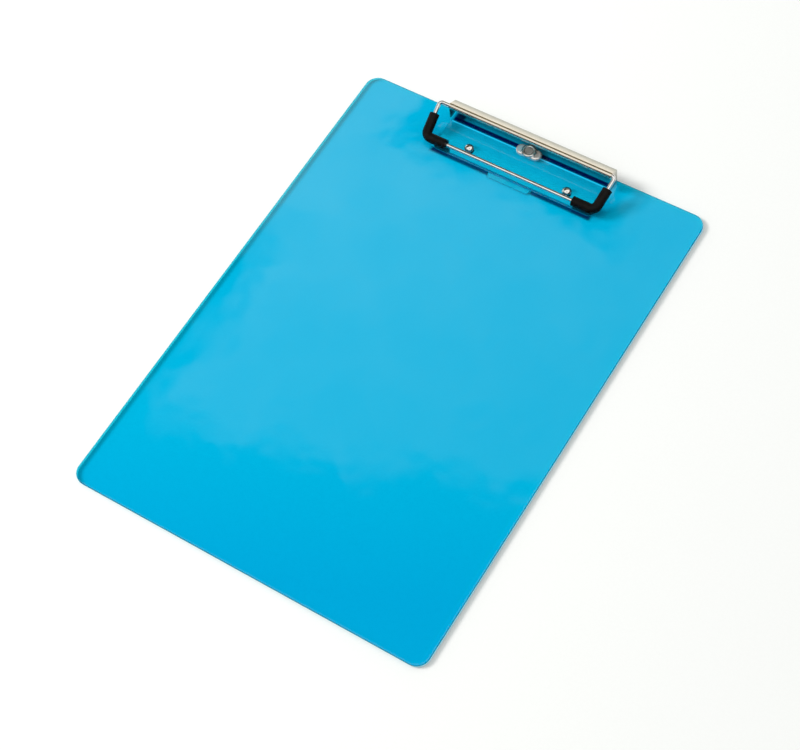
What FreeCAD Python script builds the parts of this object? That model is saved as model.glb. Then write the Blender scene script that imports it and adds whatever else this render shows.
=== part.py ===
"""Letter-size clipboard with a low wire clip.

Frame: millimetres, +Z up, +X to the right, +Y towards the clip.
The origin is the centre of the board's underside, which is the face it rests on.
"""
import FreeCAD, Part
import math
import os
import Sketcher
from FreeCAD import Placement, Rotation, Vector

DIMENSIONS = [
    # board
    ("board_width", 228.6), ("board_length", 317.5), ("board_thick", 2.5),
    ("board_corner", 8.0), ("board_edge", 0.7), ("recess_gap", 0.15),
    # clip plate, one pressed sheet: base under the board, wall behind it, flange rolled round the bail
    ("sheet", 0.6), ("plate_gap", 0.05), ("plate_half", 54.0), ("plate_front", 129.3), ("plate_corner", 3.0),
    ("tab_front", 125.7), ("tab_half", 13.5), ("tab_blend", 1.7),
    ("wall_inner", 158.9), ("flange_half", 54.8), ("flange_low", 11.7), ("bend_outer", 1.0), ("bend_inner", 0.12),
    ("ear_front", 151.6), ("ear_foot", 2.9), ("ear_round", 1.2),
    # pivot and bail wire: the bail sits off centre by bail_shift, within its side play
    ("pivot_y", 153.1), ("pivot_z", 13.4), ("wire", 2.4), ("pivot_bore", 2.56), ("bail_shift", -2.3),
    ("leg_end", 8.0), ("arm_rear_half", 59.4), ("arm_front_half", 57.4), ("bar_y", 131.8),
    ("bail_bend", 2.1), ("bail_corner", 3.8),
    # rubber grips
    ("grip", 6.0), ("grip_bore", 2.44), ("grip_gap", 0.05), ("grip_on_arm", 14.3), ("grip_on_bar", 14.5),
    # rivets: set_gap is the room left round a shank once it is set
    ("rivet_x", 33.2), ("rivet_y", 138.0), ("rivet_head", 5.8), ("rivet_rise", 2.1), ("rivet_rim", 0.3),
    ("rivet_shank", 3.0), ("rivet_tail", 3.8), ("set_gap", 0.02), ("board_hole_gap", 0.1),
    # hanging eyelet and its collar
    ("eyelet_y", 151.7), ("eyelet_bore", 5.0), ("eyelet_tube", 6.2), ("eyelet_rim", 9.2),
    ("rim_rise", 1.1), ("rim_round", 0.9), ("eyelet_tail", 7.0),
    ("collar_length", 16.8), ("collar_width", 7.4), ("collar_rise", 1.5), ("collar_round", 1.2),
]

# Places that follow from the sheet's cells, as expressions.
WALL_OUTER = "(dims.wall_inner + dims.sheet)"
ROLL = "(dims.pivot_bore / 2 + dims.sheet)"
FLANGE_DEPTH = f"({WALL_OUTER} - dims.pivot_y)"
FLANGE_DROP = "(dims.pivot_z - dims.flange_low)"
FLANGE_SLOPE = (f"(atan({FLANGE_DROP} / {FLANGE_DEPTH})"
                f" + asin({ROLL} / sqrt({FLANGE_DEPTH} ^ 2 + {FLANGE_DROP} ^ 2)))")
BAR_Z = "(dims.board_thick + dims.grip / 2 + dims.grip_gap)"
BAIL_REACH = f"sqrt((dims.pivot_y - dims.bar_y) ^ 2 + (dims.pivot_z - {BAR_Z}) ^ 2)"
BAIL_TILT = f"asin((dims.pivot_z - {BAR_Z}) / {BAIL_REACH})"
ARM_TAPER = f"((dims.arm_rear_half - dims.arm_front_half) / {BAIL_REACH})"
COLLAR_TOP = "(dims.board_thick + dims.collar_rise)"
RIM_TOP = f"({COLLAR_TOP} + dims.rim_rise)"
RIVET_SINK = "(dims.rivet_tail - dims.rivet_shank)"
EYELET_SINK = "(dims.eyelet_tail - dims.eyelet_tube)"

SKETCH_ORIGIN = (-1, 1)
Y_AXIS = -2
START, END, CENTRE = 1, 2, 3
TOLERANCE = 1e-3

doc = FreeCAD.newDocument("clipboard")
dims = doc.addObject("Spreadsheet::Sheet", "dims")
for row, (alias, number) in enumerate(DIMENSIONS, start=1):
    dims.set(f"A{row}", alias)
    dims.set(f"B{row}", str(number))
    dims.setAlias(f"B{row}", alias)
doc.recompute()


def value(expression):
    """The number an expression over the sheet's cells comes to."""
    result = dims.evalExpression(expression)
    return float(getattr(result, "Value", result))


# ---------------------------------------------------------------- bodies and sketches

def new_body(label):
    body = doc.addObject("PartDesign::Body", label)
    body.Label = label
    return body


def origin_feature(body, role):
    return next(f for f in body.Origin.OriginFeatures if f.Role == role)


def new_sketch(body, name, plane, offset=None):
    """A sketch on one of the body's own origin planes, moved along its normal by an expression."""
    sketch = body.newObject("Sketcher::SketchObject", name)
    sketch.AttachmentSupport = [(origin_feature(body, plane), "")]
    sketch.MapMode = "FlatFace"
    if offset:
        sketch.setExpression("AttachmentOffset.Base.z", offset)
    return sketch


def drive(sketch, constraint, expression):
    """Add a dimension to a sketch and bind it to an expression."""
    index = sketch.addConstraint(constraint)
    sketch.setExpression(f"Constraints[{index}]", expression)


def drive_point(sketch, element, end, x, y):
    for kind, expression in (("DistanceX", x), ("DistanceY", y)):
        drive(sketch, Sketcher.Constraint(kind, *SKETCH_ORIGIN, element, end, value(expression)), expression)


def polygon(sketch, corners):
    """A closed outline of straight lines through corners given as pairs of expressions."""
    points = [Vector(value(x), value(y), 0) for x, y in corners]
    lines = [sketch.addGeometry(Part.LineSegment(a, b)) for a, b in zip(points, points[1:] + points[:1])]
    for line, following in zip(lines, lines[1:] + lines[:1]):
        sketch.addConstraint(Sketcher.Constraint("Coincident", line, END, following, START))
    for line, (x, y) in zip(lines, corners):
        drive_point(sketch, line, START, x, y)


def circle(sketch, x, y, diameter):
    centre = Vector(value(x), value(y), 0)
    ring = sketch.addGeometry(Part.Circle(centre, Vector(0, 0, 1), value(diameter) / 2))
    drive_point(sketch, ring, CENTRE, x, y)
    drive(sketch, Sketcher.Constraint("Diameter", ring, value(diameter)), diameter)


def bent_line(sketch, corners, radii):
    """An open line through corners, with an arc of the given radius at each inner corner."""
    points = [Vector(value(x), value(y), 0) for x, y in corners]
    marks = [sketch.addGeometry(Part.Point(p), True) for p in points]
    for mark, (x, y) in zip(marks, corners):
        drive_point(sketch, mark, START, x, y)
    trims = [0.0] + [tangent_length(*points[i:i + 3], value(r)) for i, r in enumerate(radii)] + [0.0]
    lines = []
    for i, (a, b) in enumerate(zip(points, points[1:])):
        along = (b - a).normalize()
        lines.append(sketch.addGeometry(Part.LineSegment(a + along * trims[i], b - along * trims[i + 1])))
    for i, mark in enumerate(marks[1:-1]):
        sketch.addConstraint(Sketcher.Constraint("PointOnObject", mark, START, lines[i]))
        sketch.addConstraint(Sketcher.Constraint("PointOnObject", mark, START, lines[i + 1]))
    sketch.addConstraint(Sketcher.Constraint("Coincident", lines[0], START, marks[0], START))
    sketch.addConstraint(Sketcher.Constraint("Coincident", lines[-1], END, marks[-1], START))
    for i, radius in enumerate(radii):
        add_bend(sketch, lines[i], lines[i + 1], radius)


def tangent_length(before, corner, after, radius):
    """How far from a corner an arc of this radius touches the two lines."""
    half_turn = (before - corner).getAngle(after - corner) / 2
    return radius / math.tan(half_turn)


def add_bend(sketch, line, following, radius):
    start = sketch.Geometry[line].EndPoint
    finish = sketch.Geometry[following].StartPoint
    into = sketch.Geometry[line].EndPoint - sketch.Geometry[line].StartPoint
    out = sketch.Geometry[following].EndPoint - sketch.Geometry[following].StartPoint
    left_turn = into.cross(out).z > 0
    side = Vector(-into.y, into.x, 0).normalize() * (value(radius) if left_turn else -value(radius))
    centre = start + side
    first, last = (start, finish) if left_turn else (finish, start)
    angles = [Vector(1, 0, 0).getAngle(p - centre) * (1 if (p - centre).y >= 0 else -1) for p in (first, last)]
    ring = Part.Circle(centre, Vector(0, 0, 1), value(radius))
    arc = sketch.addGeometry(Part.ArcOfCircle(ring, *angles))
    arc_in, arc_out = (START, END) if left_turn else (END, START)
    sketch.addConstraint(Sketcher.Constraint("Tangent", line, END, arc, arc_in))
    sketch.addConstraint(Sketcher.Constraint("Tangent", arc, arc_out, following, START))
    drive(sketch, Sketcher.Constraint("Radius", arc, value(radius)), radius)


# ---------------------------------------------------------------- features

def pad(body, name, sketch, length, both_sides=False, backwards=False):
    feature = body.newObject("PartDesign::Pad", name)
    feature.Profile = sketch
    feature.SideType = "Symmetric" if both_sides else "One side"
    feature.Reversed = backwards
    feature.setExpression("Length", length)
    doc.recompute()
    return feature


def pocket(body, name, sketch, length, both_sides=False):
    """Cut a sketch upwards through the body, or both ways from its plane."""
    before = body.Shape.Volume
    feature = body.newObject("PartDesign::Pocket", name)
    feature.Profile = sketch
    feature.SideType = "Symmetric" if both_sides else "One side"
    feature.Reversed = not both_sides
    feature.setExpression("Length", length)
    doc.recompute()
    assert feature.Shape.Volume < before - TOLERANCE, f"{name} cuts nothing"
    return feature


def revolve(body, name, sketch):
    feature = body.newObject("PartDesign::Revolution", name)
    feature.Profile = sketch
    feature.ReferenceAxis = (sketch, ["V_Axis"])
    feature.Angle = 360
    doc.recompute()
    return feature


def sweep(body, name, profile, path):
    feature = body.newObject("PartDesign::AdditivePipe", name)
    feature.Profile = profile
    doc.recompute()
    feature.Spine = (path, [f"Edge{i + 1}" for i in range(len(path.Shape.Edges))])
    doc.recompute()
    return feature


def mirror(body, name, feature):
    copy = body.newObject("PartDesign::Mirrored", name)
    copy.Originals = [feature]
    copy.MirrorPlane = (origin_feature(body, "YZ_Plane"), [""])
    body.Tip = copy
    doc.recompute()
    return copy


def fillet(body, name, radius, wanted):
    """Round every edge of the body's tip that wanted(edge) picks."""
    base = body.Tip
    names = [f"Edge{i}" for i, edge in enumerate(base.Shape.Edges, start=1) if wanted(edge)]
    assert names, f"{name} finds no edge"
    feature = body.newObject("PartDesign::Fillet", name)
    feature.Base = (base, names)
    feature.setExpression("Radius", radius)
    doc.recompute()
    return feature


def near(a, b):
    return abs(a - b) < TOLERANCE


def is_vertical(edge):
    ends = [v.Point for v in edge.Vertexes]
    return len(ends) == 2 and near(ends[0].x, ends[1].x) and near(ends[0].y, ends[1].y)


def vertical_at(places):
    """Picks vertical edges that stand at any of the (x, y) expression pairs, on either side of X."""
    spots = [(abs(value(x)), value(y)) for x, y in places]
    return lambda edge: is_vertical(edge) and any(
        near(abs(edge.CenterOfMass.x), x) and near(edge.CenterOfMass.y, y) for x, y in spots)


def lengthwise_at(places):
    """Picks edges that run along X at any of the (y, z) expression pairs."""
    spots = [(value(y), value(z)) for y, z in places]

    def wanted(edge):
        ends = [v.Point for v in edge.Vertexes]
        along_x = len(ends) == 2 and near(ends[0].y, ends[1].y) and near(ends[0].z, ends[1].z)
        return along_x and any(near(ends[0].y, y) and near(ends[0].z, z) for y, z in spots)
    return wanted


def level_at(*heights):
    """Picks edges that lie level at any of the given heights."""
    levels = [value(z) for z in heights]
    return lambda edge: any(near(edge.BoundBox.ZMin, z) and near(edge.BoundBox.ZMax, z) for z in levels)


# ---------------------------------------------------------------- board and clip plate

def plate_outline(gap, rear):
    """The base plate's outline with its centre tab, grown by a gap."""
    half, tab = f"(dims.plate_half + {gap})", f"(dims.tab_half + {gap})"
    front, tip = f"dims.plate_front - {gap}", f"dims.tab_front - {gap}"
    return [(f"-{half}", front), (f"-{tab}", front), (f"-{tab}", tip), (tab, tip), (tab, front),
            (half, front), (half, rear), (f"-{half}", rear)]


def round_plate_corners(body, name, outline):
    corner, tab_root, tab_tip = outline[0], outline[1], outline[2]
    fillet(body, f"{name}_corners", "dims.plate_corner", vertical_at([corner]))
    fillet(body, f"{name}_tab", "dims.tab_blend", vertical_at([tab_root, tab_tip]))


def over_pivot(reach):
    """The point this far from the pivot's axis, square to the sloping flange."""
    return (f"(dims.pivot_y + {reach} * sin({FLANGE_SLOPE}))", f"(dims.pivot_z + {reach} * cos({FLANGE_SLOPE}))")


def make_board():
    body = new_body("board")
    outline = new_sketch(body, "board_outline", "XY_Plane")
    across, along = "dims.board_width / 2", "dims.board_length / 2"
    polygon(outline, [(f"-{across}", f"-{along}"), (across, f"-{along}"), (across, along), (f"-{across}", along)])
    pad(body, "board_sheet", outline, "dims.board_thick")
    fillet(body, "board_corners", "dims.board_corner", is_vertical)
    fillet(body, "board_edges", "dims.board_edge", level_at("0", "dims.board_thick"))

    recess = new_sketch(body, "recess_outline", "XY_Plane")
    recess_outline = plate_outline("dims.recess_gap", WALL_OUTER)
    polygon(recess, recess_outline)
    pocket(body, "plate_recess", recess, "dims.sheet + dims.plate_gap")
    round_plate_corners(body, "recess", recess_outline)

    holes = new_sketch(body, "board_hole_circles", "XY_Plane")
    for side in ("-", ""):
        circle(holes, f"{side}dims.rivet_x", "dims.rivet_y", "dims.rivet_shank + 2 * dims.board_hole_gap")
    circle(holes, "0", "dims.eyelet_y", "dims.eyelet_tube + 2 * dims.board_hole_gap")
    pocket(body, "board_holes", holes, "dims.board_thick")
    return body


def make_clip_plate():
    body = new_body("clip_plate")
    base = new_sketch(body, "base_outline", "XY_Plane")
    base_outline = plate_outline("0", WALL_OUTER)
    polygon(base, base_outline)
    pad(body, "base", base, "dims.sheet")
    round_plate_corners(body, "base", base_outline)

    wall = new_sketch(body, "wall_section", "YZ_Plane")
    polygon(wall, [("dims.wall_inner", "0"), (WALL_OUTER, "0"), (WALL_OUTER, "dims.flange_low"),
                   ("dims.wall_inner", "dims.flange_low")])
    pad(body, "wall", wall, "2 * dims.flange_half", both_sides=True)

    flange = new_sketch(body, "flange_section", "YZ_Plane")
    skin = "dims.sheet"
    polygon(flange, [over_pivot(ROLL), (WALL_OUTER, "dims.flange_low"),
                     (f"{WALL_OUTER} - {skin} * sin({FLANGE_SLOPE})",
                      f"dims.flange_low - {skin} * cos({FLANGE_SLOPE})"), over_pivot("dims.pivot_bore / 2")])
    pad(body, "flange", flange, "2 * dims.flange_half", both_sides=True)
    roll = new_sketch(body, "roll_section", "YZ_Plane")
    circle(roll, "dims.pivot_y", "dims.pivot_z", f"2 * {ROLL}")
    pad(body, "roll", roll, "2 * dims.flange_half", both_sides=True)
    fillet(body, "outer_bends", "dims.bend_outer", lengthwise_at(
        [(WALL_OUTER, "0"), (WALL_OUTER, "dims.flange_low")]))
    fillet(body, "inner_bend", "dims.bend_inner", lengthwise_at([("dims.wall_inner", "dims.sheet")]))
    add_ears(body)
    pierce_plate(body)
    return body


def add_ears(body):
    """Two ears bent forward off the wall close the ends, and the bail's bore runs through ears and roll."""
    section = new_sketch(body, "ear_section", "YZ_Plane", offset="dims.flange_half - dims.sheet")
    inside_wall = "dims.wall_inner + dims.sheet / 2"
    polygon(section, [("dims.ear_front", "dims.ear_foot"), (inside_wall, "dims.ear_foot"),
                      (inside_wall, "dims.flange_low"), over_pivot("(dims.pivot_bore + dims.sheet) / 2"),
                      ("dims.ear_front", "dims.pivot_z")])
    ear = pad(body, "ear", section, "dims.sheet")
    mirror(body, "ear_pair", ear)
    foot = value("dims.ear_foot")
    front = value("dims.ear_front")
    fillet(body, "ear_toes", "dims.ear_round", lambda edge: near(edge.CenterOfMass.y, front)
           and near(edge.CenterOfMass.z, foot) and near(edge.Length, value("dims.sheet")))
    bore = new_sketch(body, "pivot_bore_circle", "YZ_Plane")
    circle(bore, "dims.pivot_y", "dims.pivot_z", "dims.pivot_bore")
    pocket(body, "pivot_bore", bore, "2 * dims.flange_half", both_sides=True)


def pierce_plate(body):
    """Countersunk holes, open side down, that the rivets' and the eyelet's tails are set into."""
    rivets = new_sketch(body, "rivet_hole_circles", "XY_Plane")
    for side in ("-", ""):
        circle(rivets, f"{side}dims.rivet_x", "dims.rivet_y", "dims.rivet_shank")
    eyelet = new_sketch(body, "eyelet_hole_circle", "XY_Plane")
    circle(eyelet, "0", "dims.eyelet_y", "dims.eyelet_tube")
    countersink(body, "rivet_holes", rivets, "dims.rivet_shank", "dims.rivet_tail")
    countersink(body, "eyelet_plate_hole", eyelet, "dims.eyelet_tube", "dims.eyelet_tail")


def countersink(body, name, sketch, diameter, mouth):
    before = body.Shape.Volume
    doc.recompute()
    hole = body.newObject("PartDesign::Hole", name)
    hole.Profile = sketch
    hole.Reversed = True
    hole.DepthType = "Dimension"
    hole.DrillPoint = "Flat"
    hole.HoleCutType = "Countersink"
    hole.HoleCutCustomValues = True
    hole.HoleCutCountersinkAngle = 90
    hole.setExpression("Depth", "dims.sheet + dims.set_gap")
    hole.setExpression("Diameter", f"{diameter} + 2 * dims.set_gap")
    hole.setExpression("HoleCutDiameter", f"{mouth} + 2 * dims.set_gap")
    doc.recompute()
    assert hole.Shape.Volume < before - TOLERANCE, f"{name} cuts nothing"


# ---------------------------------------------------------------- bail and grips

def tilt_onto_pivot(body):
    """Bail parts are drawn flat with the pivot on X, then laid down from the pivot onto the board."""
    body.Placement = Placement(Vector(0, 0, 0), Rotation(Vector(1, 0, 0), value(BAIL_TILT)))
    body.setExpression("Placement.Base.x", "dims.bail_shift")
    body.setExpression("Placement.Base.y", "dims.pivot_y")
    body.setExpression("Placement.Base.z", "dims.pivot_z")
    body.setExpression("Placement.Rotation.Angle", BAIL_TILT)


def make_wire_bail():
    body = new_body("wire_bail")
    path = new_sketch(body, "bail_path", "XY_Plane")
    bends = ["dims.bail_bend", "dims.bail_corner", "dims.bail_corner", "dims.bail_bend"]
    bent_line(path, [("-dims.leg_end", "0"), ("-dims.arm_rear_half", "0"),
                     ("-dims.arm_front_half", f"-{BAIL_REACH}"), ("dims.arm_front_half", f"-{BAIL_REACH}"),
                     ("dims.arm_rear_half", "0"), ("dims.leg_end", "0")], bends)
    section = new_sketch(body, "wire_section", "YZ_Plane", offset="-dims.leg_end")
    circle(section, "0", "0", "dims.wire")
    sweep(body, "wire", section, path)
    tilt_onto_pivot(body)
    return body


def make_grip(label, side):
    body = new_body(label)
    path = new_sketch(body, f"{label}_path", "XY_Plane")
    bar_end = f"{side}(dims.arm_front_half - dims.grip_on_bar)"
    arm_end_x = f"{side}(dims.arm_front_half + {ARM_TAPER} * dims.grip_on_arm)"
    arm_end_y = f"-{BAIL_REACH} + dims.grip_on_arm"
    bent_line(path, [(bar_end, f"-{BAIL_REACH}"), (f"{side}dims.arm_front_half", f"-{BAIL_REACH}"),
                     (arm_end_x, arm_end_y)], ["dims.bail_corner"])
    section = new_sketch(body, f"{label}_section", "YZ_Plane", offset=bar_end)
    circle(section, f"-{BAIL_REACH}", "0", "dims.grip")
    circle(section, f"-{BAIL_REACH}", "0", "dims.grip_bore")
    sweep(body, f"{label}_sleeve", section, path)
    tilt_onto_pivot(body)
    return body


# ---------------------------------------------------------------- rivets, eyelet and collar

def make_rivet(label, side):
    """Domed head on the board, shank through board and plate, tail set flush under the plate."""
    body = new_body(label)
    half = new_sketch(body, f"{label}_half", "XZ_Plane")
    rim = "dims.board_thick + dims.rivet_rim"
    crown = "dims.board_thick + dims.rivet_rise"
    polygon(half, [("0", "0"), ("dims.rivet_tail / 2", "0"), ("dims.rivet_shank / 2", f"{RIVET_SINK} / 2"),
                   ("dims.rivet_shank / 2", "dims.board_thick"), ("dims.rivet_head / 2", "dims.board_thick"),
                   ("dims.rivet_head / 2", rim), ("0", rim)])
    revolve(body, f"{label}_shank", half)
    dome = new_sketch(body, f"{label}_dome_half", "XZ_Plane")
    dome_sector(dome, "dims.rivet_head / 2", rim, crown)
    revolve(body, f"{label}_dome", dome)
    body.setExpression("Placement.Base.x", f"{side}dims.rivet_x")
    body.setExpression("Placement.Base.y", "dims.rivet_y")
    return body


def dome_sector(sketch, radius, foot, crown):
    """Half of a spherical cap's section: the arc from the rim to the crown on the axis, and two lines."""
    reach, rise = value(radius), value(crown) - value(foot)
    sphere = (reach ** 2 + rise ** 2) / (2 * rise)
    centre = Vector(0, value(crown) - sphere, 0)
    rim, top, middle = Vector(reach, value(foot), 0), Vector(0, value(crown), 0), Vector(0, value(foot), 0)
    rim_angle = Vector(1, 0, 0).getAngle(rim - centre)
    top_angle = Vector(1, 0, 0).getAngle(top - centre)
    arc = sketch.addGeometry(Part.ArcOfCircle(Part.Circle(centre, Vector(0, 0, 1), sphere), rim_angle, top_angle))
    axis_line = sketch.addGeometry(Part.LineSegment(top, middle))
    floor = sketch.addGeometry(Part.LineSegment(middle, rim))
    for first, second in ((arc, axis_line), (axis_line, floor), (floor, arc)):
        sketch.addConstraint(Sketcher.Constraint("Coincident", first, END, second, START))
    drive_point(sketch, arc, START, radius, foot)
    drive_point(sketch, axis_line, START, "0", crown)
    drive_point(sketch, axis_line, END, "0", foot)
    sketch.addConstraint(Sketcher.Constraint("PointOnObject", arc, CENTRE, Y_AXIS))


def make_hanging_eyelet():
    """Tube through the board and plate, with a rounded rim on the collar and a tail set flush below."""
    body = new_body("hanging_eyelet")
    half = new_sketch(body, "eyelet_half", "XZ_Plane")
    bore, tube = "dims.eyelet_bore / 2", "dims.eyelet_tube / 2"
    sink = f"{EYELET_SINK} / 2"
    polygon(half, [(bore, sink), (f"{bore} + {sink}", "0"), ("dims.eyelet_tail / 2", "0"), (tube, sink),
                   (tube, COLLAR_TOP), ("dims.eyelet_rim / 2", COLLAR_TOP), ("dims.eyelet_rim / 2", RIM_TOP),
                   (bore, RIM_TOP)])
    revolve(body, "eyelet_tube", half)
    fillet(body, "eyelet_rim", "dims.rim_round", level_at(RIM_TOP))
    body.setExpression("Placement.Base.y", "dims.eyelet_y")
    return body


def make_eyelet_collar():
    body = new_body("eyelet_collar")
    outline = new_sketch(body, "collar_outline", "XY_Plane", offset="dims.board_thick")
    stadium(outline, "dims.collar_length / 2 - dims.collar_width / 2", "dims.collar_width / 2")
    pad(body, "collar", outline, "dims.collar_rise")
    fillet(body, "collar_shoulder", "dims.collar_round", level_at(COLLAR_TOP))
    hole = new_sketch(body, "collar_hole_circle", "XY_Plane", offset="dims.board_thick")
    circle(hole, "0", "0", "dims.eyelet_tube + 2 * dims.set_gap")
    pocket(body, "collar_hole", hole, "dims.collar_rise")
    body.setExpression("Placement.Base.y", "dims.eyelet_y")
    return body


def stadium(sketch, centre_x, radius):
    """Two half circles, centred at plus and minus centre_x on the sketch's X axis, joined by lines."""
    reach, high = value(centre_x), value(radius)
    quarter = math.pi / 2
    right_ring = Part.Circle(Vector(reach, 0, 0), Vector(0, 0, 1), high)
    left_ring = Part.Circle(Vector(-reach, 0, 0), Vector(0, 0, 1), high)
    right = sketch.addGeometry(Part.ArcOfCircle(right_ring, -quarter, quarter))
    top = sketch.addGeometry(Part.LineSegment(Vector(reach, high, 0), Vector(-reach, high, 0)))
    left = sketch.addGeometry(Part.ArcOfCircle(left_ring, quarter, 3 * quarter))
    bottom = sketch.addGeometry(Part.LineSegment(Vector(-reach, -high, 0), Vector(reach, -high, 0)))
    for first, second in ((right, top), (top, left), (left, bottom), (bottom, right)):
        sketch.addConstraint(Sketcher.Constraint("Tangent", first, END, second, START))
    drive_point(sketch, right, CENTRE, centre_x, "0")
    drive(sketch, Sketcher.Constraint("DistanceX", *SKETCH_ORIGIN, left, CENTRE, -reach), f"-({centre_x})")
    drive(sketch, Sketcher.Constraint("Radius", right, high), radius)


# ---------------------------------------------------------------- build, check and write

def check_document(bodies):
    for item in doc.Objects:
        faults = {"Invalid", "Error"} & set(item.State)
        assert not faults, f"{item.Label} is {faults}"
    for body in bodies:
        assert not body.Shape.isNull() and body.Shape.isValid(), f"{body.Label} has a bad shape"
        assert len(body.Shape.Solids) == 1, f"{body.Label} is not one solid"


def write_parts(bodies):
    os.makedirs("parts", exist_ok=True)
    for body in bodies:
        body.Shape.exportStep(os.path.join("parts", f"{body.Label}.step"))


parts = [make_board(), make_clip_plate(), make_wire_bail()]
for name, side in (("left", "-"), ("right", "")):
    parts += [make_grip(f"grip_{name}", side), make_rivet(f"rivet_{name}", side)]
parts += [make_hanging_eyelet(), make_eyelet_collar()]
doc.recompute()
check_document(parts)
write_parts(parts)
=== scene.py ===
"""Looks, light and camera for the clipboard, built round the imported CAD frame.

Lengths are in metres and angles in degrees. X runs to the board's right, Y to its rear, Z up.
"""
import math

import bpy
from mathutils import Matrix, Vector

MM = 0.001

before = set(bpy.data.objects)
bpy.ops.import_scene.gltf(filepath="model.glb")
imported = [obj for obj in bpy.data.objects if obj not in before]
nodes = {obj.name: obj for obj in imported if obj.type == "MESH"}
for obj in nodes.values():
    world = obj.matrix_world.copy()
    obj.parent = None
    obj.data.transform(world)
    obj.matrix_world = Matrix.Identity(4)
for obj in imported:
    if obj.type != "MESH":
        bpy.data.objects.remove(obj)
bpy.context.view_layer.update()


# ---------------------------------------------------------------- node helpers

class Graph:
    """A short way to build a node tree. A value is a number, a vector, a colour or another node's socket."""

    def __init__(self, tree):
        self.tree = tree
        tree.nodes.clear()

    def add(self, kind, inputs=(), **settings):
        """A node with its settings made and its inputs fed: inputs is a dictionary by name or by number."""
        node = self.tree.nodes.new(kind)
        for name, value in settings.items():
            setattr(node, name, value)
        for name, value in dict(inputs).items():
            self.feed(node.inputs[name], value)
        return node

    def feed(self, socket, value):
        if isinstance(value, bpy.types.NodeSocket):
            self.tree.links.new(value, socket)
        else:
            socket.default_value = value

    def math(self, operation, a, b=0.0, c=0.0):
        return self.add("ShaderNodeMath", {0: a, 1: b, 2: c}, operation=operation).outputs[0]

    def vector(self, operation, a, b):
        node = self.add("ShaderNodeVectorMath", {0: a, 1: b}, operation=operation)
        return node.outputs["Value" if operation == "DOT_PRODUCT" else "Vector"]

    def scale(self, vector, by):
        node = self.add("ShaderNodeVectorMath", {0: vector, "Scale": by}, operation="SCALE")
        return node.outputs["Vector"]

    def xyz(self, vector):
        return self.add("ShaderNodeSeparateXYZ", {0: vector}).outputs

    def mix(self, factor, a, b):
        """Colour a where factor is 0, b where it is 1."""
        return self.add("ShaderNodeMix", {"Factor": factor, 6: a, 7: b}, data_type="RGBA").outputs[2]

    def mix_shaders(self, factor, a, b):
        """Shader a where factor is 0, b where it is 1."""
        return self.add("ShaderNodeMixShader", {0: factor, 1: a.outputs[0], 2: b.outputs[0]})

    def ramp(self, value, low, high, out_low=0.0, out_high=1.0, smooth=True):
        """out_low where value is low, out_high where it is high, and held beyond them; low may exceed high."""
        inputs = {"Value": value, "From Min": low, "From Max": high, "To Min": out_low, "To Max": out_high}
        kind = "SMOOTHSTEP" if smooth else "LINEAR"
        return self.add("ShaderNodeMapRange", inputs, interpolation_type=kind).outputs["Result"]

    def strip(self, value, low, high, soft):
        """1 where value lies between low and high, with edges that fade over soft on both sides."""
        rise = self.ramp(value, low - soft, low + soft)
        fall = self.ramp(value, high + soft, high - soft)
        return self.math("MULTIPLY", rise, fall)

    def noise(self, vector, scale, detail=3.0, roughness=0.5):
        inputs = {"Vector": vector, "Scale": scale, "Detail": detail, "Roughness": roughness}
        return self.add("ShaderNodeTexNoise", inputs).outputs["Fac"]

    def bump(self, height, strength, distance):
        inputs = {"Height": height, "Strength": strength, "Distance": distance}
        return self.add("ShaderNodeBump", inputs).outputs["Normal"]

    def place(self):
        """The shaded point, in the object's own coordinates."""
        return self.add("ShaderNodeTexCoord").outputs["Object"]


def rgb(r, g, b):
    return (r, g, b, 1.0)


def grey(level):
    return rgb(level, level, level)


def new_material(name):
    """An empty material, its graph and its output node."""
    material = bpy.data.materials.new(name)
    material.use_nodes = True
    g = Graph(material.node_tree)
    return material, g, g.add("ShaderNodeOutputMaterial")


# ---------------------------------------------------------------- the board's blue plastic

BOARD_ABSORPTION = (1400.0, 102.0, 27.0)    # red, green, blue; per metre
BOARD_IOR = 1.5
RIPPLE_SCALE, GRAIN_SCALE = 28.0, 900.0     # a slow wave in the sheet and a fine grain on it
GRAIN_SHARE = 0.004                         # of the ripple's height
RIPPLE_BUMP, RIPPLE_HEIGHT = 0.25, 0.6 * MM
FINEST_POLISH, DULLEST_POLISH = 0.0, 0.02   # roughness

FACE_NORMAL, RIM_NORMAL = 0.9, 0.5          # upright part of the normal, on a flat face and on the rounded rim
RIM_COLOUR = rgb(0.45, 0.80, 0.92)
RIM_CLEAR = 0.8                             # how much of the rim the camera simply sees through
FACE_LETS_THROUGH = grey(0.96)              # for shadow and diffuse rays, besides the absorption
LEFT_LETS_THROUGH, RIGHT_LETS_THROUGH = 0.9, 0.10
LEFT_NORMAL, RIGHT_NORMAL = -0.3, 0.5       # sideways part of the normal, where each of those is reached

# painted shade: the plastic's colour is made a little deeper towards the front right corner
CORNER_PAINTED_SHADE = rgb(0.9, 0.862, 0.965)
TINT_SLANT = -0.35                          # the tint's gradient leans by this much X for each Y
TINT_FULL, TINT_GONE = -0.160, -0.075

# painted shadow: a dark line in the board's underside in front of the clip plate's edge, stepping forward and
# lighter along the tab
PAINTED_SHADOW_COLOUR = rgb(0.004, 0.006, 0.03)
LINE_REAR, LINE_WIDTH = 129.9 * MM, 4.2 * MM
LINE_HALF_LENGTH, LINE_END_FADE = 53.0 * MM, 3.0 * MM
LINE_REAR_SOFT = (-0.2 * MM, 0.3 * MM)      # how its two long edges fade, as distances in front of each
LINE_FRONT_SOFT = (-1.6 * MM, 0.3 * MM)
TAB_SHIFTS_LINE, TAB_NARROWS_LINE = -3.6 * MM, -2.2 * MM
TAB_INNER, TAB_OUTER = 13.4 * MM, 15.2 * MM  # from the middle; the line steps forward between them
TAB_LIGHTENS_LINE = -0.6
UNDERSIDE, ABOVE_UNDERSIDE = 0.2 * MM, 0.4 * MM


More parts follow.
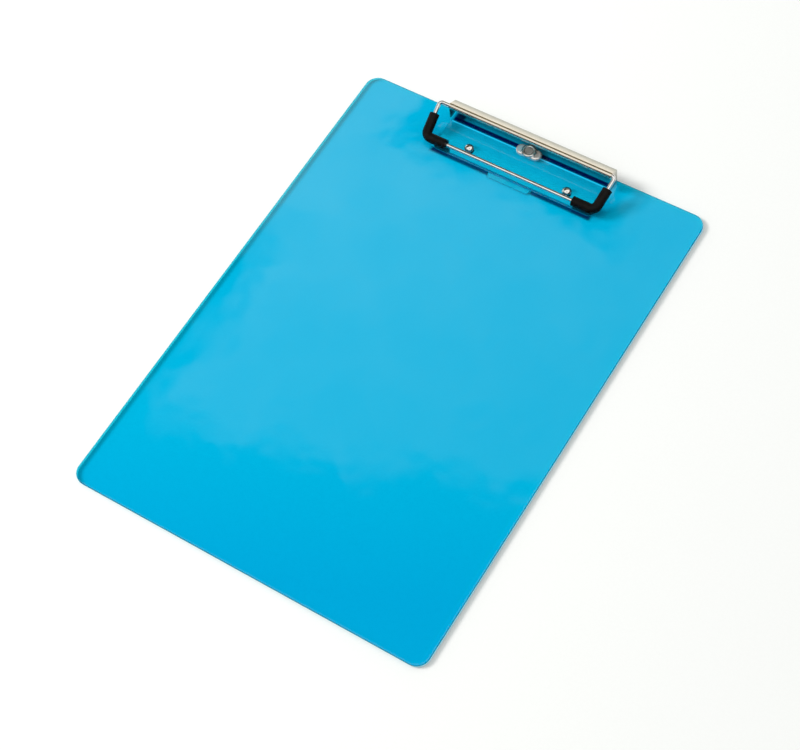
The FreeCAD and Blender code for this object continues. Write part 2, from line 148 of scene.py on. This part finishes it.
def painted_face_shade(g, place):
    """Nearly white, with painted shade that deepens it a little towards the front right corner, and a painted
    shadow: a dark line in the underside just before the clip plate's front edge and its tab.
    """
    at = g.xyz(place)
    along = g.math("MULTIPLY_ADD", at["X"], TINT_SLANT, at["Y"])
    clear = g.mix(g.ramp(along, TINT_FULL, TINT_GONE, smooth=False), CORNER_PAINTED_SHADE, grey(1.0))

    # painted shadow along the clip plate's front edge and its tab
    across = g.math("ABSOLUTE", at["X"])
    on_tab = g.ramp(across, TAB_OUTER, TAB_INNER)
    rear = g.math("MULTIPLY_ADD", on_tab, TAB_SHIFTS_LINE, LINE_REAR)
    width = g.math("MULTIPLY_ADD", on_tab, TAB_NARROWS_LINE, LINE_WIDTH)
    before = g.math("SUBTRACT", rear, at["Y"])
    starts = g.ramp(before, *LINE_REAR_SOFT)
    ends = g.ramp(g.math("SUBTRACT", before, width), *LINE_FRONT_SOFT)
    line = g.math("MULTIPLY", starts, g.math("SUBTRACT", 1.0, ends))
    line = g.math("MULTIPLY", line, g.ramp(across, LINE_HALF_LENGTH + LINE_END_FADE, LINE_HALF_LENGTH))
    line = g.math("MULTIPLY", line, g.ramp(at["Z"], ABOVE_UNDERSIDE, UNDERSIDE))
    strength = g.math("MULTIPLY", line, g.math("MULTIPLY_ADD", on_tab, TAB_LIGHTENS_LINE, 1.0))
    return g.mix(strength, clear, PAINTED_SHADOW_COLOUR)


def board_plastic():
    """See-through blue styrene: clear gloss faces, colour from depth, a faint ripple in the sheet.

    Camera, mirrored and refracted rays meet glass. Shadow and diffuse rays go straight through a tinted surface,
    because glass would stop them and leave the floor black below the board.
    """
    material, g, out = new_material("blue_plastic")
    place = g.place()
    ripple = g.noise(place, RIPPLE_SCALE, 2.0)
    grain = g.noise(place, GRAIN_SCALE, 2.0)
    height = g.math("ADD", ripple, g.math("MULTIPLY", grain, GRAIN_SHARE))
    glass = g.add("ShaderNodeBsdfPrincipled", {
        "Base Color": painted_face_shade(g, place),
        "Transmission Weight": 1.0,
        "IOR": BOARD_IOR,
        "Roughness": g.ramp(grain, 0.3, 0.7, FINEST_POLISH, DULLEST_POLISH),
        "Normal": g.bump(height, RIPPLE_BUMP, RIPPLE_HEIGHT),
    })

    # the rounded rim is mostly see-through, or total reflection inside it would draw it black
    normal = g.xyz(g.add("ShaderNodeNewGeometry").outputs["True Normal"])
    face = g.ramp(g.math("ABSOLUTE", normal["Z"]), RIM_NORMAL, FACE_NORMAL)
    rim = g.add("ShaderNodeBsdfTransparent", {"Color": RIM_COLOUR})
    seen = g.mix_shaders(g.math("MULTIPLY", g.math("SUBTRACT", 1.0, face), RIM_CLEAR), glass, rim)

    # the right side stops most light, so the sheet throws a neutral shadow past that edge
    side = g.ramp(normal["X"], LEFT_NORMAL, RIGHT_NORMAL, LEFT_LETS_THROUGH, RIGHT_LETS_THROUGH)
    through = g.mix(face, g.scale((1.0, 1.0, 1.0), side), FACE_LETS_THROUGH)
    clear = g.add("ShaderNodeBsdfTransparent", {"Color": through})
    ray = g.add("ShaderNodeLightPath").outputs
    straight = g.math("MAXIMUM", ray["Is Shadow Ray"], ray["Is Diffuse Ray"])
    g.feed(out.inputs["Surface"], g.mix_shaders(straight, seen, clear).outputs[0])

    density = max(BOARD_ABSORPTION)
    volume = g.add("ShaderNodeVolumeAbsorption", {
        "Color": rgb(*[1.0 - absorbed / density for absorbed in BOARD_ABSORPTION]),
        "Density": density,
    })
    g.feed(out.inputs["Volume"], volume.outputs[0])
    return material


# ---------------------------------------------------------------- metals and rubber

CLOUD_SCALE, SPECK_SCALE = 140.0, 2600.0
CLOUD_SHARE, SPECK_SHARE = 0.6, 0.4      # of the dents' height
METAL_BUMP_HEIGHT = 0.03 * MM
WORN_SHARE = 0.86                        # how much of its brightness the metal keeps where it is handled
WORN_ROUGHNESS = 0.07                    # added there


def plated(name, tint, roughness, scratch, metallic=1.0):
    """Bright plated metal: a mirror with cloudy handling marks and small dents in the shine."""
    material, g, out = new_material(name)
    place = g.place()
    cloud = g.noise(place, CLOUD_SCALE, 4.0, 0.6)
    speck = g.noise(place, SPECK_SCALE, 2.0, 0.6)
    height = g.math("ADD", g.math("MULTIPLY", cloud, CLOUD_SHARE), g.math("MULTIPLY", speck, SPECK_SHARE))
    worn = [WORN_SHARE * c for c in tint]
    metal = g.add("ShaderNodeBsdfPrincipled", {
        "Base Color": g.mix(g.ramp(cloud, 0.35, 0.75), rgb(*tint), rgb(*worn)),
        "Metallic": metallic,
        "Roughness": g.ramp(cloud, 0.3, 0.8, roughness, roughness + WORN_ROUGHNESS),
        "Normal": g.bump(height, scratch, METAL_BUMP_HEIGHT),
    })
    g.feed(out.inputs["Surface"], metal.outputs[0])
    return material


SHEET_CLOUD_SCALE = 160.0
DRAWN_SCALE, DRAWN_STRETCH = 1500.0, (0.06, 1.0, 1.0)    # fine lines along the clip's length
DRAWN_BUMP = 0.2
FLANGE_ROUGHNESS = (0.16, 0.24)
# painted reflection: the standing nickel is greyer and darker towards its rear and a lighter cream towards its
# front
FLANGE_REAR_Y, FLANGE_FRONT_Y = 159.5 * MM, 154.0 * MM
FLANGE_REAR_PAINTED_DARK, FLANGE_FRONT_PAINTED_BRIGHT = rgb(0.46, 0.46, 0.40), rgb(0.84, 0.77, 0.66)
BASE_TOP, STANDING_FROM = 0.9 * MM, 1.1 * MM
SATIN, WORN_SATIN = rgb(0.82, 0.72, 0.80), rgb(0.76, 0.66, 0.74)
SATIN_FROM_Y, BRIGHT_FROM_Y = 143.0 * MM, 137.0 * MM
FRONT_METALLIC, BASE_ROUGHNESS, BASE_SPECULAR = 0.85, 0.10, 0.1
# painted reflection and shade on the base under the board: a dark band, a lighter band before it, and a dark
# left corner
PAINTED_BAND_X = (-53.0 * MM, 54.5 * MM)
PAINTED_REFLECTION_Y, PAINTED_HIGHLIGHT_Y = (152.3 * MM, 155.1 * MM), (151.2 * MM, 151.8 * MM)
SHADE_CORNER_X, SHADE_CORNER_Y = (-53.0 * MM, -47.0 * MM), (153.5 * MM, 158.0 * MM)
SHADE_CORNER_STRENGTH = 0.9
PAINTED_DARK_COLOUR = rgb(0.02, 0.015, 0.12)
# painted highlight: the light band glows, though no lamp is there
PAINTED_HIGHLIGHT_GLOW, PAINTED_HIGHLIGHT_STRENGTH = rgb(0.55, 0.65, 1.0), 0.5


def painted_base_marks(g, x, y):
    """Painted reflection and shade on the base: a dark line that stands for a reflection, with a painted
    highlight before it, both running the plate's length, and a painted shaded corner at the left end.
    """
    within = g.strip(x, *PAINTED_BAND_X, 0.6 * MM)
    dark = g.math("MULTIPLY", g.strip(y, *PAINTED_REFLECTION_Y, 0.4 * MM), within)
    corner = g.math("MULTIPLY", g.strip(y, *SHADE_CORNER_Y, 0.6 * MM), g.strip(x, *SHADE_CORNER_X, 0.9 * MM))
    dark = g.math("MAXIMUM", dark, g.math("MULTIPLY", corner, SHADE_CORNER_STRENGTH))
    light = g.math("MULTIPLY", g.strip(y, *PAINTED_HIGHLIGHT_Y, 0.3 * MM), within)
    return dark, light


def clip_nickel():
    """The clip plate: bright nickel where it stands up, with a painted reflection that darkens it towards the
    rear; the base under the board is metallic at its front and satin towards the fold, with a painted
    reflection, a glowing painted highlight and painted shade.
    """
    material, g, out = new_material("nickel_plate")
    place = g.place()
    x, y, z = g.xyz(place)
    cloud = g.noise(place, SHEET_CLOUD_SCALE, 4.0, 0.6)

    drawn = g.add("ShaderNodeMapping", {"Vector": place, "Scale": DRAWN_STRETCH})
    lines = g.noise(drawn.outputs[0], DRAWN_SCALE, 3.0, 0.6)
    # painted reflection: darker towards the rear, lighter towards the front
    tint = g.mix(g.ramp(y, FLANGE_REAR_Y, FLANGE_FRONT_Y), FLANGE_REAR_PAINTED_DARK, FLANGE_FRONT_PAINTED_BRIGHT)
    worn = g.mix(g.ramp(cloud, 0.3, 0.8), grey(1.0), grey(0.93))
    bright = g.add("ShaderNodeBsdfPrincipled", {
        "Base Color": g.vector("MULTIPLY", tint, worn),
        "Metallic": 1.0,
        "Roughness": g.ramp(cloud, 0.3, 0.8, *FLANGE_ROUGHNESS),
        "Normal": g.bump(lines, DRAWN_BUMP, METAL_BUMP_HEIGHT),
    })

    # painted reflection and shade as a dark colour, and a painted highlight as white with a glow
    dark, light = painted_base_marks(g, x, y)
    shade = g.mix(dark, g.mix(g.ramp(cloud, 0.3, 0.75), SATIN, WORN_SATIN), PAINTED_DARK_COLOUR)
    base = g.add("ShaderNodeBsdfPrincipled", {
        "Base Color": g.mix(light, shade, grey(1.0)),
        "Metallic": g.ramp(y, SATIN_FROM_Y, BRIGHT_FROM_Y, 0.0, FRONT_METALLIC),
        "Specular IOR Level": BASE_SPECULAR,
        "Roughness": BASE_ROUGHNESS,
        "Emission Color": PAINTED_HIGHLIGHT_GLOW,
        "Emission Strength": g.math("MULTIPLY", light, PAINTED_HIGHLIGHT_STRENGTH),
    })
    g.feed(out.inputs["Surface"], g.mix_shaders(g.ramp(z, BASE_TOP, STANDING_FROM), base, bright).outputs[0])
    return material


RUBBER_BLACK, RUBBER_BLOOM = rgb(0.0025, 0.0022, 0.0022), rgb(0.009, 0.007, 0.006)
RUBBER_ROUGHNESS, RUBBER_SPECULAR = (0.38, 0.55), 0.14
BLOOM_SCALE, SKIN_SCALE = 220.0, 3200.0
SKIN_BUMP, SKIN_HEIGHT = 0.5, 0.08 * MM


def grip_rubber():
    """Black moulded tube: satin, with a fine skin and a slight brown-grey bloom."""
    material, g, out = new_material("black_rubber")
    place = g.place()
    bloom = g.noise(place, BLOOM_SCALE, 4.0, 0.6)
    skin = g.noise(place, SKIN_SCALE, 3.0, 0.7)
    rubber = g.add("ShaderNodeBsdfPrincipled", {
        "Base Color": g.mix(g.ramp(bloom, 0.4, 0.75), RUBBER_BLACK, RUBBER_BLOOM),
        "Roughness": g.ramp(bloom, 0.3, 0.7, *RUBBER_ROUGHNESS),
        "Specular IOR Level": RUBBER_SPECULAR,
        "Normal": g.bump(skin, SKIN_BUMP, SKIN_HEIGHT),
    })
    g.feed(out.inputs["Surface"], rubber.outputs[0])
    return material


def paint(material, *names):
    for name in names:
        mesh = nodes[name].data
        mesh.materials.clear()
        mesh.materials.append(material)


paint(board_plastic(), "board")
paint(clip_nickel(), "clip_plate")
paint(plated("wire_chrome", (0.92, 0.92, 0.92), 0.06, 0.12), "wire_bail")
paint(grip_rubber(), "grip_left", "grip_right")
paint(plated("rivet_nickel", (0.90, 0.89, 0.86), 0.07, 0.15), "rivet_left", "rivet_right", "hanging_eyelet")
paint(plated("collar_nickel", (0.92, 0.90, 0.87), 0.12, 0.2, 0.7), "eyelet_collar")


# ---------------------------------------------------------------- floor

FLOOR_DROP = 0.2 * MM    # so that the floor and the board's underside don't lie in one plane
FLOOR_SIZE = 6.0
FLOOR_DARK, FLOOR_LIGHT = rgb(0.92, 0.935, 0.915), rgb(0.93, 0.945, 0.925)
PAPER_SCALE = 700.0


def make_floor():
    half = FLOOR_SIZE / 2
    mesh = bpy.data.meshes.new("floor")
    mesh.from_pydata([(x * half, y * half, -FLOOR_DROP) for x, y in ((-1, -1), (1, -1), (1, 1), (-1, 1))],
                     [], [(0, 1, 2, 3)])
    floor = bpy.data.objects.new("floor", mesh)
    bpy.context.scene.collection.objects.link(floor)
    material, g, out = new_material("pale_floor")
    paper = g.noise(g.add("ShaderNodeNewGeometry").outputs["Position"], PAPER_SCALE, 3.0, 0.6)
    matt = g.add("ShaderNodeBsdfDiffuse", {"Color": g.mix(g.ramp(paper, 0.3, 0.7), FLOOR_DARK, FLOOR_LIGHT)})
    g.feed(out.inputs["Surface"], matt.outputs[0])
    mesh.materials.append(material)


# ---------------------------------------------------------------- world and lamps

CAMERA_PLACE = Vector((0.3651, -0.4337, 0.9437))
CAMERA_AIM = Vector((-0.00078, -0.02491, 0.0))
CAMERA_ROLL = -11.22
CAMERA_LENS, CAMERA_SHIFT = 87.5, (0.0361, 0.0071)
CAMERA_AZIMUTH, CAMERA_ELEVATION = 41.8, 60.0    # where it stands, seen from the board

# the softbox, in metres of the board's plane; each pair is where an edge starts and where it is complete
SOFTBOX_COLOUR = (1.0, 0.88, 0.42)
WAVER_SCALE, CLOUDING_SCALE = 14.0, 26.0
LEFT_TO_RIGHT, LEVEL_LEFT_TO_RIGHT = (-0.13, 0.12), (1.22, 0.50)
FRONT_TO_REAR, LEVEL_FRONT_TO_REAR = (-0.07, 0.10), (0.60, 1.0)
CLOUDING = (0.78, 1.18)
FRONT_EDGE_LEFT_Y, FRONT_EDGE_STEP, STEP_X = -0.102, 0.058, (-0.04, 0.115)
FRONT_EDGE_WAVER, FRONT_EDGE_SOFT = 0.075, (-0.010, 0.022)
LEFT_EDGE_WAVER, LEFT_EDGE_X, LEFT_EDGE_OPENS_Y = 0.05, (-0.118, -0.088), (0.0, 0.05)
REAR_END_Y, LEFT_END_X = (0.20, 0.17), (-0.17, -0.14)
CLIP_PATCH_X, CLIP_PATCH_HALF, CLIP_PATCH_FRONT_Y = -0.004, 0.074, 0.126
CLIP_PATCH_WAVER, CLIP_PATCH_SOFT = 0.03, (-0.006, 0.014)

# the rest of the room; each pair is the upright part of the direction over which one turns into the next
SOFTBOX_TO_BAND, BAND_TO_WALL, LOW_WALL_TO_CEILING = (0.70, 0.60), (0.46, 0.38), (0.46, 0.58)
FAR_TO_CAMERA_SIDE = (-0.33, -0.24)
DARK_WALL, REAR_WALL = rgb(0.03, 0.03, 0.035), rgb(1.0, 0.95, 0.84)
FRONT_CEILING = rgb(1.0, 0.99, 0.96)
LENS_DARK = rgb(0.02, 0.02, 0.025)
LENS_INNER, LENS_OUTER = 6.0, 11.0               # angles from the camera's own direction
SEEN_THROUGH_BOARD, DIFFUSE_LIGHT = grey(0.95), grey(0.52)
LOWEST_RISE = 0.02                               # keeps the layout finite towards the horizon


def direction(azimuth, elevation):
    """A unit vector: azimuth 0 is the front, -Y, and 90 the right, +X."""
    a, e = math.radians(azimuth), math.radians(elevation)
    return (math.sin(a) * math.cos(e), -math.cos(a) * math.cos(e), math.sin(e))


def softbox_level(g, x, y, spot):
    """How bright the softbox is at (x, y) of the board's own plane."""
    waver = g.math("SUBTRACT", g.noise(spot, WAVER_SCALE, 4.0, 0.55), 0.5)
    cloud = g.noise(spot, CLOUDING_SCALE, 3.0, 0.6)

    # brighter to the left and to the rear, and clouded
    level = g.math("MULTIPLY", g.ramp(x, *LEFT_TO_RIGHT, *LEVEL_LEFT_TO_RIGHT, smooth=False),
                   g.ramp(y, *FRONT_TO_REAR, *LEVEL_FRONT_TO_REAR))
    level = g.math("MULTIPLY", level, g.ramp(cloud, 0.25, 0.75, *CLOUDING))

    # a wavering soft front edge, further back on the right than on the left
    front = g.math("MULTIPLY_ADD", g.ramp(x, *STEP_X), FRONT_EDGE_STEP, FRONT_EDGE_LEFT_Y)
    reach = g.math("ADD", g.math("SUBTRACT", y, front), g.math("MULTIPLY", waver, FRONT_EDGE_WAVER))
    softbox = g.ramp(reach, *FRONT_EDGE_SOFT)

    # in the front half it stops short of the board's left edge
    wavering_x = g.math("ADD", x, g.math("MULTIPLY", waver, LEFT_EDGE_WAVER))
    left = g.math("MAXIMUM", g.ramp(wavering_x, *LEFT_EDGE_X), g.ramp(y, *LEFT_EDGE_OPENS_Y))
    level = g.math("MULTIPLY", level, g.math("MULTIPLY", softbox, left))

    # it ends behind the board's rear edge and beyond its left edge
    ends = g.math("MULTIPLY", g.ramp(y, *REAR_END_Y), g.ramp(x, *LEFT_END_X))
    level = g.math("MULTIPLY", level, ends)

    # a dark patch with a ragged edge surrounds the clip
    off_middle = g.math("ABSOLUTE", g.math("SUBTRACT", x, CLIP_PATCH_X))
    from_clip = g.math("MAXIMUM", g.math("SUBTRACT", off_middle, CLIP_PATCH_HALF),
                       g.math("SUBTRACT", CLIP_PATCH_FRONT_Y, y))
    from_clip = g.math("ADD", from_clip, g.math("MULTIPLY", waver, CLIP_PATCH_WAVER))
    return g.math("MULTIPLY", level, g.ramp(from_clip, *CLIP_PATCH_SOFT))


def make_world():
    """Even light for matt surfaces, and a studio pattern for what mirrors in the shiny ones.

    The board's flat faces mirror the ceiling, so its softbox is laid out in the board's own X and Y: at (x, y)
    the pattern is what the camera sees mirrored in the board at that place. What is seen through the plastic is
    lit by an even bright room instead, so the clip's base plate keeps its brightness.
    """
    world = bpy.data.worlds.new("studio")
    bpy.context.scene.world = world
    world.use_nodes = True
    g = Graph(world.node_tree)
    out = g.add("ShaderNodeOutputWorld")
    way = g.add("ShaderNodeTexCoord").outputs["Generated"]
    way_x, way_y, way_z = g.xyz(way)
    rise = g.math("MAXIMUM", way_z, LOWEST_RISE)
    x = g.math("MULTIPLY_ADD", g.math("DIVIDE", way_x, rise), CAMERA_PLACE.z, CAMERA_PLACE.x)
    y = g.math("MULTIPLY_ADD", g.math("DIVIDE", way_y, rise), CAMERA_PLACE.z, CAMERA_PLACE.y)
    spot = g.add("ShaderNodeCombineXYZ", {"X": x, "Y": y}).outputs[0]
    colour = g.scale(SOFTBOX_COLOUR, softbox_level(g, x, y, spot))

    # on the far side a dark band below the softbox, then a bright wall; everywhere else a bright ceiling over a
    # dark low wall, with the camera itself dark
    colour = g.mix(g.ramp(way_z, *SOFTBOX_TO_BAND), colour, DARK_WALL)
    colour = g.mix(g.ramp(way_z, *BAND_TO_WALL), colour, REAR_WALL)
    forward = g.vector("DOT_PRODUCT", way, direction(CAMERA_AZIMUTH, 0.0))
    camera_side = g.mix(g.ramp(way_z, *LOW_WALL_TO_CEILING), DARK_WALL, FRONT_CEILING)
    colour = g.mix(g.ramp(forward, *FAR_TO_CAMERA_SIDE), colour, camera_side)
    lens = g.vector("DOT_PRODUCT", way, direction(CAMERA_AZIMUTH, CAMERA_ELEVATION))
    outer, inner = (math.cos(math.radians(angle)) for angle in (LENS_OUTER, LENS_INNER))
    colour = g.mix(g.ramp(lens, outer, inner), colour, LENS_DARK)

    ray = g.add("ShaderNodeLightPath").outputs
    came_through = g.math("GREATER_THAN", ray["Transmission Depth"], 0.5)
    colour = g.mix(came_through, colour, SEEN_THROUGH_BOARD)
    colour = g.mix(ray["Is Diffuse Ray"], colour, DIFFUSE_LIGHT)
    background = g.add("ShaderNodeBackground", {"Color": colour, "Strength": 1.0})
    g.feed(out.inputs["Surface"], background.outputs[0])


def make_light(name, azimuth, elevation, distance, size, energy):
    """A round lamp aimed at the board's middle; it lights and shades, and doesn't mirror."""
    light = bpy.data.lights.new(name, "AREA")
    light.shape = "DISK"
    light.size = size
    light.energy = energy
    lamp = bpy.data.objects.new(name, light)
    bpy.context.scene.collection.objects.link(lamp)
    lamp.location = Vector(direction(azimuth, elevation)) * distance
    lamp.rotation_euler = (-lamp.location).to_track_quat("-Z", "Y").to_euler()
    lamp.visible_glossy = False
    lamp.visible_transmission = False


# ---------------------------------------------------------------- camera

def make_camera():
    """The camera that took the photo, found by fitting the board's outline."""
    data = bpy.data.cameras.new("camera")
    data.sensor_width = 36.0
    data.lens = CAMERA_LENS
    data.shift_x, data.shift_y = CAMERA_SHIFT
    data.clip_start, data.clip_end = 0.05, 20.0
    camera = bpy.data.objects.new("camera", data)
    bpy.context.scene.collection.objects.link(camera)
    roll = math.radians(CAMERA_ROLL)
    back = (CAMERA_PLACE - CAMERA_AIM).normalized()
    level = Vector((0, 0, 1)).cross(back).normalized()
    rise = back.cross(level)
    right = level * math.cos(roll) + rise * math.sin(roll)
    top = rise * math.cos(roll) - level * math.sin(roll)
    turn = Matrix((right, top, back)).transposed().to_4x4()
    camera.matrix_world = Matrix.Translation(CAMERA_PLACE) @ turn
    bpy.context.scene.camera = camera


make_floor()
make_world()
make_light("key_left", azimuth=-75.0, elevation=36.0, distance=3.0, size=1.0, energy=66.0)
make_light("top", azimuth=-100.0, elevation=75.0, distance=3.0, size=2.0, energy=15.0)
make_camera()
bpy.context.scene.view_settings.view_transform = "Standard"
